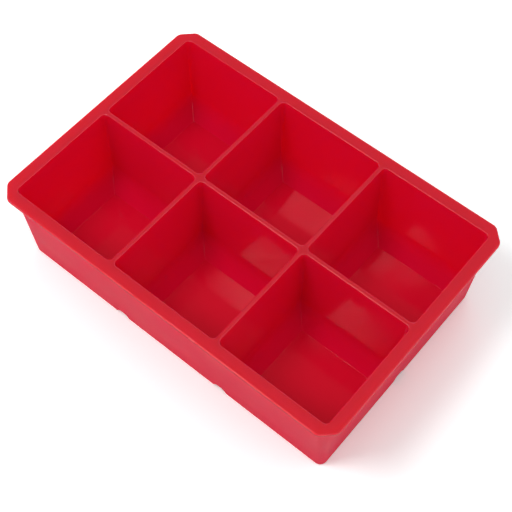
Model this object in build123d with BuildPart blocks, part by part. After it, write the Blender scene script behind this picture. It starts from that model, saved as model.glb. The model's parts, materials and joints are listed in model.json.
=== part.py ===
from build123d import *
import os

# A flexible ice cube tray of silicone: two rows of three square cells under one flat rim.
# Millimetres, +Z up, origin at the middle of the base, long side along X.

# Cells
cells_long = 3
cells_wide = 2
cell_opening = 48.7        # clear width of a cell at the rim
cell_lean = 2.52           # how far each cell wall leans in from the rim down to the level of the floor
divider_edge = 1.8         # thickness of a divider at the rim

# Heights
tray_height = 42.5
floor_thickness = 2.0
band_height = 7.2          # sloped band between a cell's walls and its floor
band_width = 5.65          # the same, seen from above
band_round = 10.0          # rounding where the walls turn into the band

# Rim
rim_margin = 5.15          # width of the flat rim around the cells
rim_thickness = 1.6
rim_corner_cut = 5.45      # length of the corner that is cut off, along each side
rim_corner_round = 2.5     # rounding where the cut corner meets the sides
rim_edge_round = 0.6

# Outer walls
wall_edge = 2.0            # thickness of an outer wall under the rim
end_wall_lean = 2.2        # how far the short walls lean in towards the base
side_wall_lean = 3.25      # the same for the long walls
body_corner_top = 5.0
body_corner_base = 3.0
base_edge_round = 0.6

# Grooves under the dividers
groove_width = 7.2
groove_depth = 3.0
groove_flank = 1.8         # width of one sloping side of a groove

# Floor panels
panel_gap = 0.3            # all round, between a floor panel and the cup it closes
panel_lift = 0.3           # underside of a panel above the table
panel_corner = 1.0         # rounding of a panel at its corners

# Worked out from the sizes above
cell_pitch = cell_opening + divider_edge
field_length = cells_long * cell_pitch - divider_edge
field_width = cells_wide * cell_pitch - divider_edge
rim_length = field_length + 2 * rim_margin
rim_width = field_width + 2 * rim_margin
rim_underside = tray_height - rim_thickness
cell_depth = tray_height - floor_thickness
band_top = floor_thickness + band_height
band_opening = cell_opening - 2 * cell_lean * (tray_height - band_top) / cell_depth
floor_width = band_opening - 2 * band_width
cup_height = band_top + band_round / 2
cup_lean = cell_lean * (tray_height - cup_height) / cell_depth
cup_opening = cell_opening - 2 * cup_lean
panel_width = floor_width - 2 * panel_gap
body_length = field_length + 2 * wall_edge
body_width = field_width + 2 * wall_edge
column_places = [(column - (cells_long - 1) / 2) * cell_pitch for column in range(cells_long)]
row_places = [(row - (cells_wide - 1) / 2) * cell_pitch for row in range(cells_wide)]
cross_divider_places = [place + cell_pitch / 2 for place in column_places[:-1]]
long_divider_places = [place + cell_pitch / 2 for place in row_places[:-1]]
column_names = ["left", "middle", "right"]
row_names = ["front", "back"]

os.makedirs("parts", exist_ok=True)


def save(piece, name):
    """Labels a finished piece and writes it under its own name."""
    piece.part.label = name
    export_step(piece.part, f"parts/{name}.step")


def cell_face(x, y, inward_x, inward_y):
    """The leaning face of a cell wall whose upper edge passes through x, y; its normal looks into the cell."""
    return Plane(
        origin=(x, y, tray_height),
        x_dir=(-inward_y, inward_x, 0),
        z_dir=(inward_x * cell_depth, inward_y * cell_depth, cell_lean),
    )


front_face = cell_face(0, -field_width / 2, 0, 1)
back_face = cell_face(0, field_width / 2, 0, -1)
left_face = cell_face(-field_length / 2, 0, 1, 0)
right_face = cell_face(field_length / 2, 0, -1, 0)

# Outer block of the tray below the rim, cut up further down: leaning sides, rounded corners and base edge
with BuildPart() as outer_block:
    with BuildSketch(Plane.XY):
        RectangleRounded(body_length - 2 * end_wall_lean, body_width - 2 * side_wall_lean, body_corner_base)
    with BuildSketch(Plane.XY.offset(rim_underside)):
        RectangleRounded(body_length, body_width, body_corner_top)
    loft(ruled=True)
    fillet(outer_block.edges().group_by(Axis.Z)[0], radius=base_edge_round)

# Rim: a flat ring with cut corners, open over the whole field of cells
with BuildPart() as rim_flange:
    with BuildSketch(Plane.XY.offset(rim_underside)) as rim_outline:
        Rectangle(rim_length, rim_width)
        chamfer(rim_outline.vertices(), length=rim_corner_cut)
        fillet(rim_outline.vertices(), radius=rim_corner_round)
    extrude(amount=rim_thickness)
    fillet(rim_flange.edges().group_by(Axis.Z)[-1], radius=rim_edge_round)
    rim_lean = cell_lean * rim_thickness / cell_depth
    with BuildSketch(Plane.XY.offset(tray_height)):
        Rectangle(field_length, field_width)
    with BuildSketch(Plane.XY.offset(rim_underside)):
        Rectangle(field_length - 2 * rim_lean, field_width - 2 * rim_lean)
    loft(ruled=True, mode=Mode.SUBTRACT)
save(rim_flange, "rim_flange")

# Long outer walls, from the cups up to the rim, with the body's corners
for name, face in (("front_wall", front_face), ("back_wall", back_face)):
    with BuildPart() as side_wall:
        add(outer_block.part)
        split(bisect_by=face, keep=Keep.BOTTOM)
        split(bisect_by=Plane.XY.offset(cup_height), keep=Keep.TOP)
    save(side_wall, name)

# Short outer walls, between the long ones
for name, face in (("left_wall", left_face), ("right_wall", right_face)):
    with BuildPart() as end_wall:
        add(outer_block.part)
        split(bisect_by=face, keep=Keep.BOTTOM)
        split(bisect_by=front_face, keep=Keep.TOP)
        split(bisect_by=back_face, keep=Keep.TOP)
        split(bisect_by=Plane.XY.offset(cup_height), keep=Keep.TOP)
    save(end_wall, name)


def divider_corners(middle):
    """Corners of a divider's tapering section, thin edge up, as distance across and height."""
    edge = divider_edge / 2
    foot = edge + cup_lean
    return [
        (middle - foot, cup_height),
        (middle + foot, cup_height),
        (middle + edge, tray_height),
        (middle - edge, tray_height),
    ]


# Divider between the two rows, from one short wall to the other
with BuildPart() as long_divider:
    with BuildSketch(Plane.YZ):
        Polygon(*divider_corners(long_divider_places[0]), align=None)
    extrude(amount=field_length / 2, both=True)
    split(bisect_by=left_face, keep=Keep.TOP)
    split(bisect_by=right_face, keep=Keep.TOP)
save(long_divider, "long_divider")

# Dividers across each row, from a long wall to the long divider
for row, row_name in enumerate(row_names):
    outward = -1 if row == 0 else 1
    outer_face = front_face if row == 0 else back_face
    inner_face = cell_face(0, long_divider_places[0] + outward * divider_edge / 2, 0, outward)
    for place, side in zip(cross_divider_places, ("left", "right")):
        with BuildPart() as cross_divider:
            with BuildSketch(Plane.XZ):
                Polygon(*divider_corners(place), align=None)
            extrude(amount=field_width / 2, both=True)
            split(bisect_by=outer_face, keep=Keep.TOP)
            split(bisect_by=inner_face, keep=Keep.TOP)
        save(cross_divider, f"cross_divider_{row_name}_{side}")


def groove_corners(middle):
    """Corners of a groove's section, open downwards, as distance across and height."""
    mouth = groove_width / 2
    return [
        (middle - mouth, 0),
        (middle + mouth, 0),
        (middle + mouth - groove_flank, groove_depth),
        (middle - mouth + groove_flank, groove_depth),
    ]


# Lower slab of the tray with its grooves, divided into one cup per cell further down
with BuildPart() as lower_slab:
    add(outer_block.part)
    split(bisect_by=Plane.XY.offset(cup_height), keep=Keep.BOTTOM)
    with BuildSketch(Plane.YZ):
        for place in long_divider_places:
            Polygon(*groove_corners(place), align=None)
    extrude(amount=body_length, both=True, mode=Mode.SUBTRACT)
    with BuildSketch(Plane.XZ):
        for place in cross_divider_places:
            Polygon(*groove_corners(place), align=None)
    extrude(amount=body_width, both=True, mode=Mode.SUBTRACT)


def hollow_corners(middle):
    """Corners of the section of a cell's hollow below its walls, as distance across and height."""
    floor, band, mouth = floor_width / 2, band_opening / 2, cup_opening / 2
    return [
        (middle - floor, floor_thickness),
        (middle + floor, floor_thickness),
        (middle + band, band_top),
        (middle + mouth, cup_height),
        (middle - mouth, cup_height),
        (middle - band, band_top),
    ]


for row, row_name in enumerate(row_names):
    for column, column_name in enumerate(column_names):
        centre = (column_places[column], row_places[row])

        # Hollow of one cell below its walls: the same section lengthwise and crosswise
        with BuildPart() as hollow:
            with BuildSketch(Plane.XZ) as section:
                Polygon(*hollow_corners(centre[0]), align=None)
                fillet(section.vertices().group_by(Axis.Y)[1], radius=band_round)
            extrude(amount=body_width, both=True)
            with BuildSketch(Plane.YZ) as cross_section:
                Polygon(*hollow_corners(centre[1]), align=None)
                fillet(cross_section.vertices().group_by(Axis.Y)[1], radius=band_round)
            extrude(amount=body_length, both=True, mode=Mode.INTERSECT)

        # Cup of one cell: lower walls, the sloped band and the foot around the floor panel
        with BuildPart() as cup_base:
            add(lower_slab.part)
            for place in cross_divider_places:
                beside = Keep.TOP if place < centre[0] else Keep.BOTTOM
                split(bisect_by=Plane.YZ.offset(place), keep=beside)
            for place in long_divider_places:
                beside = Keep.TOP if place < centre[1] else Keep.BOTTOM
                split(bisect_by=Plane((0, place, 0), x_dir=(1, 0, 0), z_dir=(0, 1, 0)), keep=beside)
            add(hollow.part, mode=Mode.SUBTRACT)
            with BuildSketch(Plane.XY):
                with Locations(centre):
                    RectangleRounded(floor_width, floor_width, panel_corner + panel_gap)
            extrude(amount=floor_thickness, mode=Mode.SUBTRACT)
        save(cup_base, f"cup_base_{row_name}_{column_name}")

        # Floor of the cell, free to be pushed up
        with BuildPart() as floor_panel:
            with BuildSketch(Plane.XY.offset(panel_lift)):
                with Locations(centre):
                    RectangleRounded(panel_width, panel_width, panel_corner)
            extrude(amount=floor_thickness - panel_lift)
        save(floor_panel, f"floor_panel_{row_name}_{column_name}")
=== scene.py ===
import json
import math

import bmesh
import bpy
from mathutils import Matrix, Vector

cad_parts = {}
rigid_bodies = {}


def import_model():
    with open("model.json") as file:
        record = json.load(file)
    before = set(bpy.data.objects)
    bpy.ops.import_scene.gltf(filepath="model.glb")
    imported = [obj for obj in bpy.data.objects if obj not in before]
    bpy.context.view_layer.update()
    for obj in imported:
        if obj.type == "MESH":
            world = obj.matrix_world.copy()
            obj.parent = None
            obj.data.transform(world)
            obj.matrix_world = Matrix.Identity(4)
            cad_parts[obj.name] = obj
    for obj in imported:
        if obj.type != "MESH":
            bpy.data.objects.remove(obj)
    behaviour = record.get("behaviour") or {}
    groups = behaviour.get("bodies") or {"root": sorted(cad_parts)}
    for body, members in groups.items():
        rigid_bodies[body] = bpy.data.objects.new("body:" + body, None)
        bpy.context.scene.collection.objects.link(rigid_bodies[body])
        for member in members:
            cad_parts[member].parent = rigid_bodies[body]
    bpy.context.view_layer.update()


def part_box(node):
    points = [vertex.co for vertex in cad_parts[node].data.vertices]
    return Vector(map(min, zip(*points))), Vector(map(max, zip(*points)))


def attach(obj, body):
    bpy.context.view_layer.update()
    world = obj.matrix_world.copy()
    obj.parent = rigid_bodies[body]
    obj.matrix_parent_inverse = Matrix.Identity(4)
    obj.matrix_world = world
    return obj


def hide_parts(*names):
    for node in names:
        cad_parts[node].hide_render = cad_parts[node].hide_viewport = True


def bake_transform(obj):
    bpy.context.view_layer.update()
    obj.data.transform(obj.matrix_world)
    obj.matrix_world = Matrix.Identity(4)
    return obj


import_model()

# A soft red ice cube tray of silicone: two rows of three square cells under one flat rim.
# Metres, +Z up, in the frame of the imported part.

MM = 0.001
origin = Vector((0, 0, 0))

# Cells, named as their floors are
rows = ("front", "back")
columns = ("left", "middle", "right")
cells = [f"{row}_{column}" for row in rows for column in columns]


def middle(node):
    """Middle of a node seen from above."""
    low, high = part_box(node)
    return Vector(((low[0] + high[0]) / 2, (low[1] + high[1]) / 2, 0))


# Levels and widths read from the frame
rim_low, rim_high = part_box("rim_flange")
tray_top = rim_high[2]
rim_under = rim_low[2]
rim_length = rim_high[0] - rim_low[0]
rim_width = rim_high[1] - rim_low[1]
body_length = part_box("right_wall")[1][0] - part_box("left_wall")[0][0]
body_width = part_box("back_wall")[1][1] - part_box("front_wall")[0][1]
foot_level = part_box("cup_base_front_left")[1][2]
floor_low, floor_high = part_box("floor_panel_front_left")
floor_under = floor_low[2]
floor_level = floor_high[2]
half_floor = (floor_high[0] - floor_low[0]) / 2
divider_low, divider_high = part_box("long_divider")
cell_pitch = middle("floor_panel_front_middle").x - middle("floor_panel_front_left").x
half_foot = (cell_pitch - (divider_high[1] - divider_low[1])) / 2

# Sizes of the moulding that a box doesn't give
divider_edge = 1.8 * MM
rim_corner_cut = 5.45 * MM
rim_corner_round = 1.2 * MM
rim_upper_round = 0.45 * MM
rim_lower_round = 0.3 * MM
body_corner_top = 5.0 * MM
body_corner_base = 3.0 * MM
end_wall_lean = 2.2 * MM
side_wall_lean = 3.25 * MM
base_round = 0.6 * MM
cell_corner_top = 2.0 * MM
cell_corner_foot = 0.4 * MM
band_height = 7.2 * MM
band_round = 3.6 * MM
floor_edge_round = 0.12 * MM
lip_round = 0.45 * MM
groove_width = 7.2 * MM
groove_depth = 3.0 * MM
groove_flank = 1.8 * MM
groove_round = 1.2 * MM

# Around the floor the walls turn softly into a sloped band, which ends at a narrow edge
half_opening = (cell_pitch - divider_edge) / 2
band_level = floor_level + band_height
wall_slope = (half_opening - half_foot) / (tray_top - foot_level)
half_band = half_opening - wall_slope * (tray_top - band_level)

# The floor of a cell is a skin that starts at that edge
skin_step = 1.2 * MM                # about the width of its rings
skin_heart = 0.6 * MM               # half width of the innermost ring

# Working values for the modelling
overlap = 0.8 * MM                  # height of the blocks that the outer walls are bridged between
overrun = 4.0 * MM                  # how far a cutting shape reaches past what it cuts
hair = 0.01 * MM                    # slack when points are chosen by their height
cut_threshold = 0.0001 * MM         # points closer than this to a cut lie on it
mitre = math.radians(45)            # half of a cell's corner
smooth_angle = math.radians(35)     # edges sharper than this keep their crease
corner_steps = 6                    # faces across an upright corner
edge_steps = 3                      # faces across a rounded edge
foot_steps = 8                      # faces across the soft turn at the foot of a cell


# Materials

silicone_ior = 1.41

# Light comes through the silicone, red light the furthest, but none near the table that it stands on
glow_start = 3 * MM
glow_full = 12 * MM
glow_depth = 8 * MM
glow_shares = (1, 0.1, 0.1)

# Broad clouds in the tone and the polish
cloud_size = 22 * MM
cloud_detail = 3
cloud_low = 0.3
cloud_high = 0.7

# Relief that the mould leaves
relief_detail = 2
relief_strength = 0.2


def linear(hex_colour):
    """Linear colour of an sRGB hex value."""
    shares = [int(hex_colour[place:place + 2], 16) / 255 for place in (1, 3, 5)]
    return [s / 12.92 if s <= 0.04045 else ((s + 0.055) / 1.055) ** 2.4 for s in shares] + [1]


def add_node(tree, kind, settings=(), links=()):
    """Adds a node, sets its properties and sockets, and links its inputs."""
    node = tree.nodes.new(kind)
    for name, value in dict(settings).items():
        if name in node.inputs:
            node.inputs[name].default_value = value
        else:
            setattr(node, name, value)
    for name, source in dict(links).items():
        tree.links.new(source, node.inputs[name])
    return node


def new_material(name):
    """A new material and its node tree, with no nodes yet."""
    material = bpy.data.materials.new(name)
    material.use_nodes = True
    material.node_tree.nodes.clear()
    return material, material.node_tree


def silicone(name, tones, roughness, wave, height, shine):
    """Red silicone rubber that lets some light through, with a relief of waves of one width and height."""
    material, tree = new_material(name)
    place = add_node(tree, "ShaderNodeTexCoord").outputs["Object"]
    cloud = add_node(
        tree, "ShaderNodeTexNoise", {"Scale": 1 / cloud_size, "Detail": cloud_detail}, {"Vector": place},
    )
    relief = add_node(
        tree, "ShaderNodeTexNoise", {"Scale": 1 / wave, "Detail": relief_detail}, {"Vector": place},
    )
    tone = add_node(
        tree, "ShaderNodeMix", {"data_type": "RGBA", "A": linear(tones[0]), "B": linear(tones[1])},
    )
    tree.links.new(cloud.outputs["Fac"], tone.inputs["Factor"])
    rough = add_node(
        tree, "ShaderNodeMapRange",
        {"From Min": cloud_low, "From Max": cloud_high, "To Min": roughness[0], "To Max": roughness[1]},
        {"Value": cloud.outputs["Fac"]},
    )
    level = add_node(tree, "ShaderNodeSeparateXYZ", (), {"Vector": place}).outputs["Z"]
    glow = add_node(
        tree, "ShaderNodeMapRange", {"From Min": glow_start, "From Max": glow_full}, {"Value": level},
    )
    bump = add_node(
        tree, "ShaderNodeBump", {"Strength": relief_strength, "Distance": height},
        {"Height": relief.outputs["Fac"]},
    )
    skin = add_node(
        tree, "ShaderNodeBsdfPrincipled",
        {
            "IOR": silicone_ior, "Specular IOR Level": shine,
            "Subsurface Radius": glow_shares, "Subsurface Scale": glow_depth,
        },
        {
            "Roughness": rough.outputs["Result"], "Normal": bump.outputs["Normal"],
            "Subsurface Weight": glow.outputs["Result"],
        },
    )
    tree.links.new(tone.outputs["Result"], skin.inputs["Base Color"])
    add_node(tree, "ShaderNodeOutputMaterial", (), {"Surface": skin.outputs["BSDF"]})
    return material


# Cured in a finely blasted steel mould: an even dry skin with a soft veil of its surroundings.
# A grain of about 0.1 mm, as such a mould leaves, is too fine to show, so it is drawn coarser.
# Its tone is darker than that of the walls and cells: painted shade on the rim and the tops of the dividers
satin_painted_shade = silicone(
    "silicone_satin", tones=("#C20C26", "#C80E2B"), roughness=(0.5, 0.6),
    wave=0.7 * MM, height=0.03 * MM, shine=0.4,
)
# Smoother along the upper edge of the rim and the lips of the cells, and lighter in tone there: a painted
# highlight, a thin light line.
# The same grain, drawn as coarse.
smooth_edge_painted_highlight = silicone(
    "silicone_edge_painted_highlight", tones=("#CC1230", "#D21436"), roughness=(0.2, 0.28),
    wave=0.7 * MM, height=0.03 * MM, shine=0.7,
)
# Outer walls, cured in a more coarsely blasted mould: dull, and a brighter red than the rim, which is
# painted light.
# A grain of about 0.2 mm is too fine to show, so it is drawn coarser.
matt_painted_light = silicone(
    "silicone_matt_painted_light", tones=("#E8163C", "#F01C44"), roughness=(0.55, 0.7),
    wave=1.1 * MM, height=0.05 * MM, shine=0.28,
)
# Cured against polished steel so that cubes slip out: smooth, with faint broad waves
gloss = silicone(
    "silicone_gloss", tones=("#E00C38", "#E60E3E"), roughness=(0.06, 0.1),
    wave=9 * MM, height=0.05 * MM, shine=0.6,
)
# Floors, cured against steel that is a little less polished: they mirror less than the walls of the cells,
# and their slightly darker tone is painted shade
floor_gloss_painted_shade = silicone(
    "silicone_gloss_floor_painted_shade", tones=("#DA0A2E", "#E00C33"), roughness=(0.07, 0.11),
    wave=9 * MM, height=0.05 * MM, shine=0.26,
)


# Modelling by hand

def start_plate(name, length, width, place):
    """Starts a piece as a flat plate, in edit mode with all of it selected."""
    bpy.ops.object.select_all(action="DESELECT")
    bpy.ops.mesh.primitive_plane_add(size=1, location=place)
    piece = bpy.context.object
    piece.name = piece.data.name = name
    piece.scale = (length, width, 1)
    bpy.ops.object.transform_apply(location=True, rotation=True, scale=True)
    bpy.ops.object.mode_set(mode="EDIT")
    bpy.ops.mesh.select_mode(type="VERT")
    bpy.ops.mesh.select_all(action="SELECT")
    return piece


def add_plate(length, width, place):
    """Adds another flat plate to the piece in edit mode, and leaves only that selected."""
    bpy.ops.mesh.select_mode(type="VERT")
    bpy.ops.mesh.primitive_plane_add(size=1, location=place)
    bpy.ops.transform.resize(value=(length, width, 1), center_override=place)


def cut_corners(reach, steps):
    """Bevels the selected corners of a plate, and leaves its face selected."""
    bpy.ops.mesh.bevel(offset=reach, segments=steps, affect="VERTICES")
    bpy.ops.mesh.select_linked()


def draw_rings(rings, centre):
    """Extrudes the selected face from ring to ring, each given by half length, half width and height."""
    bpy.ops.mesh.select_mode(type="FACE")
    for last, ring in zip(rings, rings[1:]):
        bpy.ops.mesh.extrude_region_move(TRANSFORM_OT_translate={"value": (0, 0, ring[2] - last[2])})
        bpy.ops.transform.resize(
            value=(ring[0] / last[0], ring[1] / last[1], 1), center_override=(centre.x, centre.y, ring[2]),
        )


def select_edges(piece, test):
    """Selects the edges whose two ends both pass the test."""
    bpy.ops.mesh.select_mode(type="EDGE")
    bpy.ops.mesh.select_all(action="DESELECT")
    mesh = bmesh.from_edit_mesh(piece.data)
    for edge in mesh.edges:
        edge.select_set(all(test(end.co) for end in edge.verts))
    bmesh.update_edit_mesh(piece.data)


def select_faces(piece, test):
    """Selects the faces whose corners all pass the test."""
    bpy.ops.mesh.select_mode(type="FACE")
    bpy.ops.mesh.select_all(action="DESELECT")
    mesh = bmesh.from_edit_mesh(piece.data)
    for face in mesh.faces:
        face.select_set(all(test(corner.co) for corner in face.verts))
    bmesh.update_edit_mesh(piece.data)


def set_finish(piece, finish, level):
    """Gives a finish to the faces that lie wholly at or above a level."""
    if finish.name not in piece.data.materials:
        piece.data.materials.append(finish)
    piece.active_material_index = piece.data.materials.find(finish.name)
    select_faces(piece, lambda corner: corner.z > level - hair)
    bpy.ops.object.material_slot_assign()


def bridge_between(piece, low, high):
    """Bridges the flat ends of two blocks that face each other at the heights low and high."""
    select_faces(piece, lambda corner: low - hair < corner.z < high + hair)
    bpy.ops.mesh.bridge_edge_loops()


def close_up(piece):
    """Turns all faces outwards and leaves edit mode."""
    bpy.ops.mesh.select_all(action="SELECT")
    bpy.ops.mesh.normals_make_consistent(inside=False)
    bpy.ops.object.mode_set(mode="OBJECT")


def soft_corner(before, corner, after, reach, steps=edge_steps):
    """Points of a rounded corner between two straight runs, starting and ending at reach from it."""
    start = corner + (before - corner).normalized() * reach
    end = corner + (after - corner).normalized() * reach
    shares = [step / steps for step in range(steps + 1)]
    return [(1 - s) ** 2 * start + 2 * s * (1 - s) * corner + s ** 2 * end for s in shares]


def square_rings(profile):
    """Square rings from points of half width and height."""
    return [(point.x, point.x, point.y) for point in profile]


def choose(piece):
    """Makes a piece the active one and the only one selected."""
    bpy.ops.object.select_all(action="DESELECT")
    bpy.context.view_layer.objects.active = piece
    piece.select_set(True)


def boolean(piece, other, operation):
    """Joins or cuts a piece with another, which is used up; faces keep the finish they came with."""
    choose(piece)
    bpy.ops.object.modifier_add(type="BOOLEAN")
    change = piece.modifiers[-1]
    change.operation = operation
    change.object = other
    change.solver = "EXACT"
    change.material_mode = "TRANSFER"
    bpy.ops.object.modifier_apply(modifier=change.name)
    bpy.data.objects.remove(other)


def copy_piece(piece, name, step):
    """Copies a piece with its own mesh, moved by step."""
    copy = piece.copy()
    copy.data = piece.data.copy()
    copy.name = copy.data.name = name
    copy.data.transform(Matrix.Translation(step))
    bpy.context.collection.objects.link(copy)
    return copy


def smooth(piece):
    """Shades round edges smooth and keeps the flat faces flat."""
    choose(piece)
    bpy.ops.object.shade_smooth_by_angle(angle=smooth_angle)
    bpy.ops.object.modifier_add(type="WEIGHTED_NORMAL")
    piece.modifiers[-1].keep_sharp = True
    bpy.ops.object.modifier_apply(modifier=piece.modifiers[-1].name)


# Section of a cell from its lip to its floor, as points of half width and height
rim_point = Vector((half_opening + cell_pitch, tray_top))
lip = Vector((half_opening, tray_top))
band_foot = Vector((half_band, band_level))
band_end = Vector((half_floor, floor_level))
floor_middle = Vector((0, floor_level))
lip_curve = soft_corner(rim_point, lip, band_foot, lip_round)
foot_curve = soft_corner(lip, band_foot, band_end, band_round, foot_steps)
edge_curve = soft_corner(band_foot, band_end, floor_middle, floor_edge_round)
skin_half = edge_curve[0].x


def outer_body():
    """Outside of the tray under the rim: leaning walls and rounded corners and base."""
    half_length, half_width = body_length / 2, body_width / 2
    base = (half_length - end_wall_lean, half_width - side_wall_lean, 0)
    share = overlap / rim_under
    above_base = (base[0] + end_wall_lean * share, base[1] + side_wall_lean * share, overlap)
    piece = start_plate("tray_moulding", 2 * base[0], 2 * base[1], (0, 0, 0))
    cut_corners(body_corner_base, corner_steps)
    draw_rings([base, above_base], origin)
    add_plate(body_length, body_width, (0, 0, rim_under))
    cut_corners(body_corner_top, corner_steps)
    draw_rings([(half_length, half_width, level) for level in (rim_under, rim_under + overlap)], origin)
    bridge_between(piece, overlap, rim_under)
    select_edges(piece, lambda end: end.z < hair)
    bpy.ops.mesh.bevel(offset=base_round, segments=edge_steps, affect="EDGES")
    close_up(piece)
    piece.data.materials.append(matt_painted_light)
    return piece


def rim_plate():
    """The flat rim with its cut-off corners; the rounding of its upper edge has the smoother finish with a
    painted highlight.
    """
    piece = start_plate("rim_plate", rim_length, rim_width, (0, 0, rim_under))
    piece.data.materials.append(satin_painted_shade)
    cut_corners(rim_corner_cut, 1)
    cut_corners(rim_corner_round, corner_steps)
    draw_rings([(rim_length / 2, rim_width / 2, level) for level in (rim_under, tray_top)], origin)
    halfway = (rim_under + tray_top) / 2
    select_edges(piece, lambda end: end.z > halfway)
    bpy.ops.mesh.bevel(offset=rim_upper_round, segments=edge_steps, affect="EDGES")
    select_edges(piece, lambda end: end.z < rim_under + rim_lower_round)
    bpy.ops.mesh.bevel(offset=rim_lower_round, segments=edge_steps, affect="EDGES")
    # The upper rounding gets the lighter tone, a painted highlight; the flat top keeps the darker satin,
    # painted shade
    for finish, level in ((smooth_edge_painted_highlight, tray_top - rim_upper_round), (satin_painted_shade, tray_top)):
        set_finish(piece, finish, level)
    close_up(piece)
    return piece


def groove_bar(name, place, length, lengthwise):
    """The shape of a groove under a divider, lengthwise or across, with rounded edges and ceiling."""
    mouth = Vector((groove_width / 2, 0))
    beside = Vector((groove_width, 0))
    ceiling = Vector((groove_width / 2 - groove_flank, groove_depth))
    ceiling_middle = Vector((0, groove_depth))
    lower = soft_corner(beside, mouth, ceiling, groove_round)
    upper = soft_corner(mouth, ceiling, ceiling_middle, groove_round)
    profile = [Vector((lower[0].x, -overrun)), *lower, *upper]
    if lengthwise:
        rings = [(length / 2, point.x, point.y) for point in profile]
    else:
        rings = [(point.x, length / 2, point.y) for point in profile]
    piece = start_plate(name, 2 * rings[0][0], 2 * rings[0][1], (place.x, place.y, -overrun))
    draw_rings(rings, place)
    close_up(piece)
    piece.data.materials.append(matt_painted_light)
    return piece


def cell_plug(centre):
    """The hollow of a cell, open through the base; its upright corners are rounder at the lip than below."""
    top = Vector((lip_curve[0].x, tray_top + overrun))
    hole = Vector((skin_half, -overrun))
    piece = start_plate("cell_plug", 2 * top.x, 2 * top.x, (centre.x, centre.y, top.y))
    cut_corners(cell_corner_top, corner_steps)
    draw_rings(square_rings([top, *lip_curve]), centre)
    foot = foot_curve[0]
    add_plate(2 * foot.x, 2 * foot.x, (centre.x, centre.y, foot.y))
    cut_corners(cell_corner_foot, corner_steps)
    draw_rings(square_rings([*foot_curve, edge_curve[0], hole]), centre)
    bridge_between(piece, foot.y, lip_curve[-1].y)
    piece.data.materials.append(gloss)
    # The lips get the lighter tone of the edge finish: a painted highlight
    set_finish(piece, smooth_edge_painted_highlight, lip_curve[-1].y)
    close_up(piece)
    return piece


def moulding():
    """Rim, walls and dividers in one unbroken moulding, with an opening for the floor of each cell."""
    piece = outer_body()
    boolean(piece, rim_plate(), "UNION")
    boolean(piece, groove_bar("long_groove", origin, rim_length, lengthwise=True), "DIFFERENCE")
    for column in columns[:-1]:
        place = Vector((middle(f"floor_panel_front_{column}").x + cell_pitch / 2, 0, 0))
        boolean(piece, groove_bar("cross_groove", place, rim_width, lengthwise=False), "DIFFERENCE")
    first = middle(f"floor_panel_{cells[0]}")
    plug = cell_plug(first)
    for cell in cells[1:]:
        step = middle(f"floor_panel_{cell}") - first
        boolean(piece, copy_piece(plug, "cell_plug_copy", step), "DIFFERENCE")
    boolean(piece, plug, "DIFFERENCE")
    smooth(piece)
    return piece


def floor_skin(centre):
    """The floor of a cell with the narrow edge around it, in close rings."""
    steps = round((skin_half - skin_heart) / skin_step)
    halves = [skin_heart + (skin_half - skin_heart) * step / steps for step in range(steps + 1)]
    underside = [Vector((half, floor_under if half < half_floor else 0)) for half in halves]
    flat = [Vector((half, floor_level)) for half in reversed(halves) if half < half_floor - skin_heart]
    profile = [*underside, *edge_curve, *flat]
    width = 2 * skin_heart
    piece = start_plate("floor_skin", width, width, (centre.x, centre.y, floor_under))
    cut_corners(cell_corner_foot * skin_heart / foot_curve[0].x, corner_steps)
    draw_rings(square_rings(profile), centre)
    close_up(piece)
    piece.data.materials.append(floor_gloss_painted_shade)
    return piece


def floor_quarter(skin, name, centre, outward):
    """The quarter of a floor on one side of the cell, cut along the cell's diagonals."""
    piece = copy_piece(skin, name, origin)
    choose(piece)
    bpy.ops.object.mode_set(mode="EDIT")
    for turn in (mitre, -mitre):
        bpy.ops.mesh.select_all(action="SELECT")
        side = Matrix.Rotation(turn, 3, "Z") @ outward
        bpy.ops.mesh.bisect(
            plane_co=centre, plane_no=side, use_fill=True, clear_inner=True, threshold=cut_threshold,
        )
    close_up(piece)
    smooth(piece)
    return piece


sides = {
    "front": Vector((0, -1, 0)),
    "right": Vector((1, 0, 0)),
    "back": Vector((0, 1, 0)),
    "left": Vector((-1, 0, 0)),
}


def floor_skins():
    """Four quarters in every cell, which reach from the tray's edge to the middle of the floor."""
    first = middle(f"floor_panel_{cells[0]}")
    skin = floor_skin(first)
    quarters = {side: floor_quarter(skin, f"quarter_{side}", first, sides[side]) for side in sides}
    bpy.data.objects.remove(skin)
    for cell in cells:
        centre = middle(f"floor_panel_{cell}")
        for side, outward in sides.items():
            piece = copy_piece(quarters[side], f"floor_{cell}_{side}_quarter", centre - first)
            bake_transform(piece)
            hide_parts(f"floor_panel_{cell}")
    for quarter in quarters.values():
        bpy.data.objects.remove(quarter)


tray = moulding()
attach(tray, "tray")
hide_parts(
    "rim_flange", "front_wall", "back_wall", "left_wall", "right_wall", "long_divider",
    *[f"cross_divider_{row}_{side}" for row in rows for side in ("left", "right")],
    *[f"cup_base_{cell}" for cell in cells],
)
floor_skins()


# Stage: a white table that keeps the tray's shadow

table_size = 6.0
card_colour = "#F6F6F6"
# How much brighter the card looks than it is, with less red, because the tray's own colour falls on it
table_gain = (1.42, 1.55, 1.55)


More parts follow.
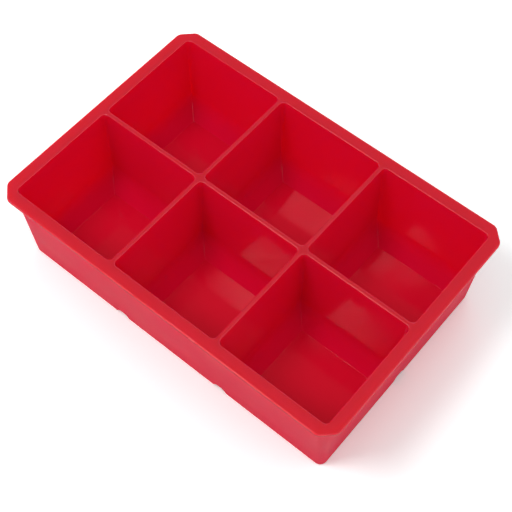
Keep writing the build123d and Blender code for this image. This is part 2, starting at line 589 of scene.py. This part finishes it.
def white_table():
    """Matt white card, seen and mirrored brighter than it is, so that only the tray's shadow shows on it."""
    material, tree = new_material("white_card")
    rays = add_node(tree, "ShaderNodeLightPath").outputs
    either = {"operation": "MAXIMUM"}
    mirrored = add_node(
        tree, "ShaderNodeMath", either, {0: rays["Is Glossy Ray"], 1: rays["Is Transmission Ray"]},
    )
    seen = add_node(
        tree, "ShaderNodeMath", either, {0: rays["Is Camera Ray"], 1: mirrored.outputs["Value"]},
    )
    card_white = linear(card_colour)
    seen_white = [share * gain for share, gain in zip(card_white, table_gain)] + [1]
    tone = add_node(tree, "ShaderNodeMix", {"data_type": "RGBA", "A": card_white, "B": seen_white})
    tree.links.new(seen.outputs["Value"], tone.inputs["Factor"])
    card = add_node(tree, "ShaderNodeBsdfDiffuse", (), {"Color": tone.outputs["Result"]})
    add_node(tree, "ShaderNodeOutputMaterial", (), {"Surface": card.outputs["BSDF"]})
    return material


bpy.ops.object.select_all(action="DESELECT")
bpy.ops.mesh.primitive_plane_add(size=table_size, location=(0, 0, 0))
table = bpy.context.object
table.name = "table"
table.data.materials.append(white_table())


# Light: an even pale room and soft boxes around the table

room_colour = (1, 1, 1, 1)
room_strength = 0.3

world = bpy.data.worlds.new("studio")
world.use_nodes = True
room = world.node_tree.nodes["Background"]
room.inputs["Color"].default_value = room_colour
room.inputs["Strength"].default_value = room_strength
bpy.context.scene.world = world


def soft_box(name, azimuth, elevation, distance, size, energy):
    """A square soft box that looks at the tray; the azimuth turns from +X to +Y."""
    turn, rise = math.radians(azimuth), math.radians(elevation)
    away = Vector((math.cos(turn) * math.cos(rise), math.sin(turn) * math.cos(rise), math.sin(rise)))
    light = bpy.data.lights.new(name, "AREA")
    light.shape = "SQUARE"
    light.size = size
    light.energy = energy
    lamp = bpy.data.objects.new(name, light)
    bpy.context.collection.objects.link(lamp)
    lamp.location = away * distance
    lamp.rotation_euler = away.to_track_quat("Z", "Y").to_euler()


soft_box("box_right", azimuth=2, elevation=60, distance=1.1, size=1.5, energy=4.9)
soft_box("box_front_left", azimuth=239, elevation=60, distance=0.92, size=0.3, energy=2.65)
soft_box("box_left", azimuth=198, elevation=30, distance=1.0, size=0.8, energy=1.8)
soft_box("box_behind", azimuth=110, elevation=25, distance=0.9, size=0.8, energy=1.4)


# Camera at the photograph's angle

camera_place = (151.77 * MM, -186.56 * MM, 406.96 * MM)
camera_turn = (31.285, -0.639, 39.613)      # degrees
camera_lens = 81.44                         # millimetres

camera_data = bpy.data.cameras.new("camera")
camera_data.lens = camera_lens
camera = bpy.data.objects.new("camera", camera_data)
bpy.context.collection.objects.link(camera)
camera.location = camera_place
camera.rotation_euler = [math.radians(angle) for angle in camera_turn]
bpy.context.scene.camera = camera

bpy.context.scene.view_settings.view_transform = "Standard"
